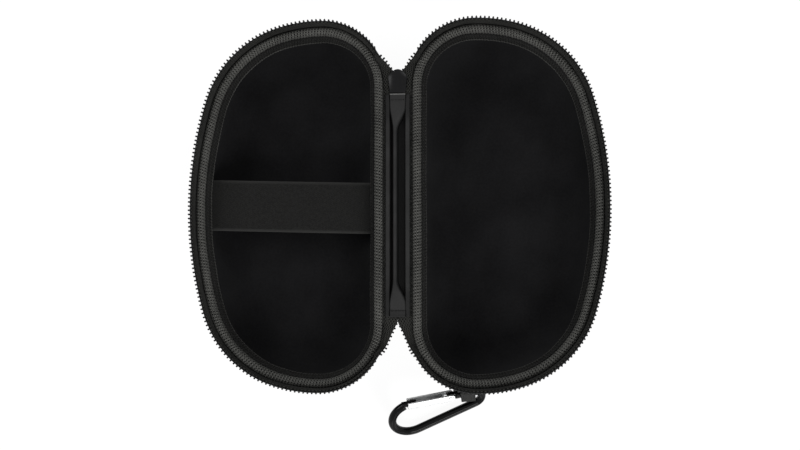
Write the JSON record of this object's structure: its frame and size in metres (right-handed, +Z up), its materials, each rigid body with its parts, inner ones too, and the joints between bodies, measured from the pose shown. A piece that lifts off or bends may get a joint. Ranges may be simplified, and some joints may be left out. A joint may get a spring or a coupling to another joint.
{
  "type": "goggle case",
  "caption": "Soft-covered moulded goggle case that opens flat on a folding spine, with a coil zip, an elastic strap in the lid and a clip on a loop.",
  "frame": {"origin": "centre of the base shell's flat bottom, on the surface that the open case lies on", "axes": "+X across the case from the lid to the base, square to the spine; +Y along the spine, away from the carabiner; +Z up, out of the open shells"},
  "size_m": [0.2026, 0.2022, 0.0325],
  "materials": {
    "outer_fabric": "woven polyester cloth, matt",
    "foam": "moulded foam, matt",
    "lining": "brushed knit, very dark and matt",
    "binding": "grosgrain tape, dull sheen",
    "zip_tape": "herringbone tape, matt",
    "zip_coil": "drawn nylon, soft gloss",
    "webbing": "woven webbing",
    "elastic": "ribbed elastic, matt",
    "spine_strip": "smooth coated cloth, satin",
    "slider": "satin black enamel",
    "carabiner_black": "gloss black anodised",
    "gate_silver": "bright pressed sheet",
    "spring_steel": "bright wire"
  },
  "bodies": {
    "base": {"base_outer_fabric": "outer_fabric", "base_foam_shell": "foam", "base_lining": "lining", "base_binding": "binding", "base_zip_tape": "zip_tape", "base_zip_coil": "zip_coil", "carabiner_loop": "webbing"},
    "spine": {"spine_strip": "spine_strip", "spine_backing": "outer_fabric", "zip_chain_top": "zip_coil", "zip_chain_bottom": "zip_coil", "slider_body": "slider", "slider_bail": "slider"},
    "lid": {"lid_outer_fabric": "outer_fabric", "lid_foam_shell": "foam", "lid_lining": "lining", "lid_binding": "binding", "lid_zip_tape": "zip_tape", "lid_zip_coil": "zip_coil", "elastic_strap": "elastic"},
    "pull": {"pull_tab": "slider"},
    "carabiner": {"carabiner_frame": "carabiner_black"},
    "gate": {"carabiner_gate": "gate_silver", "gate_pivot_pin": "gate_silver", "gate_spring": "spring_steel"}
  },
  "joints": [
    {"name": "spine_fold", "type": "hinge", "parent": "base", "child": "spine", "pos_m": [-0.0469, 0, 0.026], "axis": [0, 1, 0], "range_deg": [0, 90]},
    {"name": "lid_fold", "type": "hinge", "parent": "spine", "child": "lid", "pos_m": [-0.0587, 0, 0.026], "axis": [0, 1, 0], "range_deg": [0, 90]},
    {"name": "pull_swing", "type": "hinge", "parent": "spine", "child": "pull", "pos_m": [-0.0528, 0.06, 0.02175], "axis": [1, 0, 0], "range_deg": [-78, 78]},
    {"name": "carabiner_swing", "type": "hinge", "parent": "base", "child": "carabiner", "pos_m": [-0.01979, -0.09027, 0.00911], "axis": [-0.9491, -0.1755, 0.2616], "range_deg": [-25, 70]},
    {"name": "gate_open", "type": "hinge", "parent": "carabiner", "child": "gate", "pos_m": [-0.02833, -0.09185, 0.01147], "axis": [0.3094, -0.6757, 0.6691], "range_deg": [0, 24], "stiffness_Nm_per_rad": 0.02, "springref_deg": -17.19}
  ],
  "couplings": [
    {"joint": "lid_fold", "follows": "spine_fold", "ratio": 1}
  ]
}
